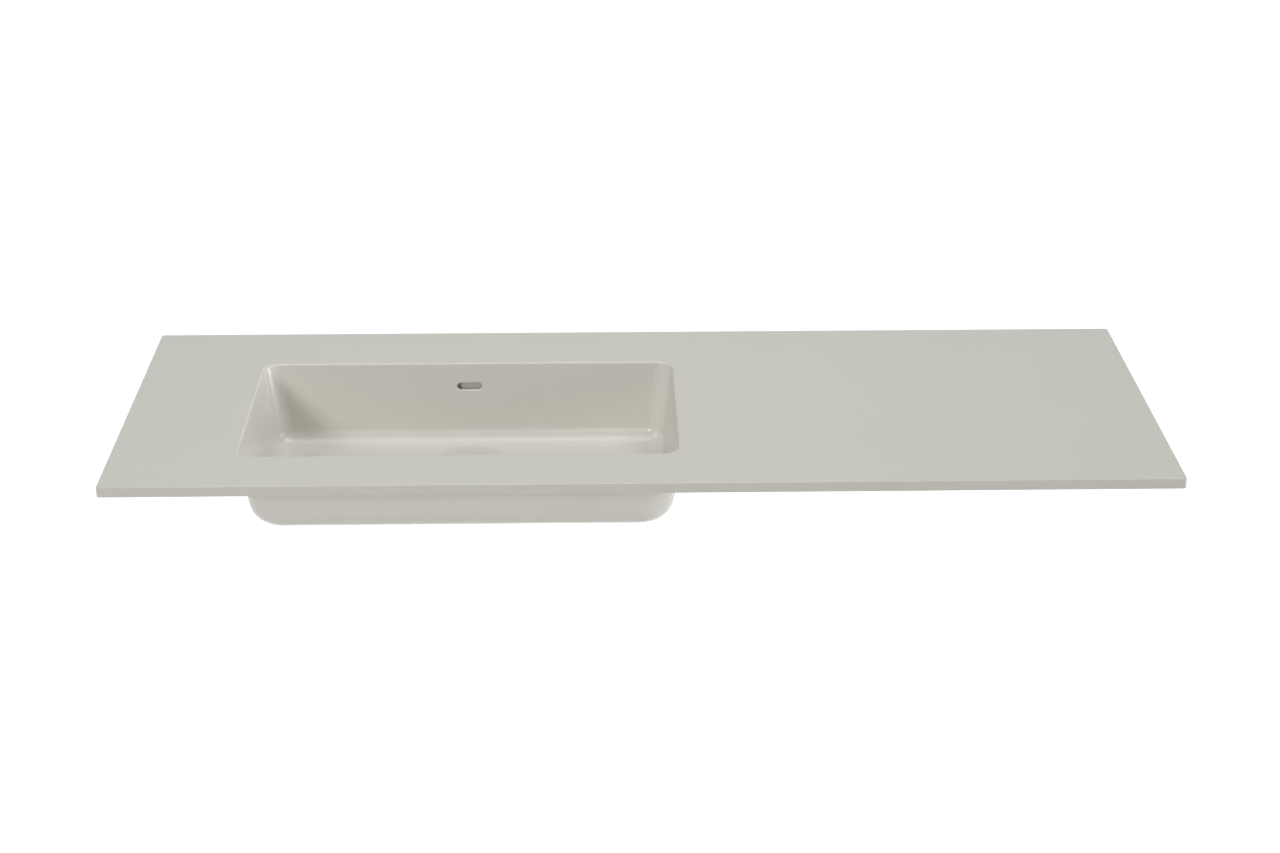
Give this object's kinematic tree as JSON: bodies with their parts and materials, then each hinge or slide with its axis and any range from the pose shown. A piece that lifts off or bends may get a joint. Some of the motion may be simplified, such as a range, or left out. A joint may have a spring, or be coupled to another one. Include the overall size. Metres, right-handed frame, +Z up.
{
  "type": "vanity sink top",
  "caption": "Thin solid-surface vanity top with an offset rectangular basin, overflow slot and duct, and a push-open waste with a matching cap.",
  "frame": {"origin": "middle of the sheet's rear edge, on the sheet's underside, where the top rests on its cabinet and meets the wall", "axes": "+X along the sheet to the right as the user faces it, +Y towards the wall, +Z up"},
  "size_m": [1.2, 0.45, 0.1565],
  "materials": {
    "solid_surface": "matte",
    "duct_moulding": "matte",
    "chromed_brass": "polished",
    "bare_brass": "satin",
    "spring_steel": "satin",
    "black_rubber": "matte",
    "white_plastic": "matte",
    "grey_foam": "matte"
  },
  "bodies": {
    "top": {"deck_sheet": "solid_surface", "basin_bowl": "solid_surface", "overflow_duct": "duct_moulding", "waste_body": "chromed_brass", "flange_gasket": "black_rubber", "lower_gasket": "black_rubber", "slip_washer": "white_plastic", "backnut": "bare_brass", "mechanism_housing": "bare_brass", "mechanism_circlip": "spring_steel", "mechanism_spring": "spring_steel"},
    "plug": {"mechanism_stem": "bare_brass", "plug_carrier": "chromed_brass", "plug_seal": "black_rubber", "cap_pad": "grey_foam", "plug_cap": "solid_surface"}
  },
  "joints": [
    {"name": "plug_slide", "type": "slide", "parent": "top", "child": "plug", "axis": [0, 0, 1], "range_m": [-0.006, 0], "stiffness_N_per_m": 600, "springref_m": 0.006, "deforming": ["mechanism_spring"]}
  ]
}
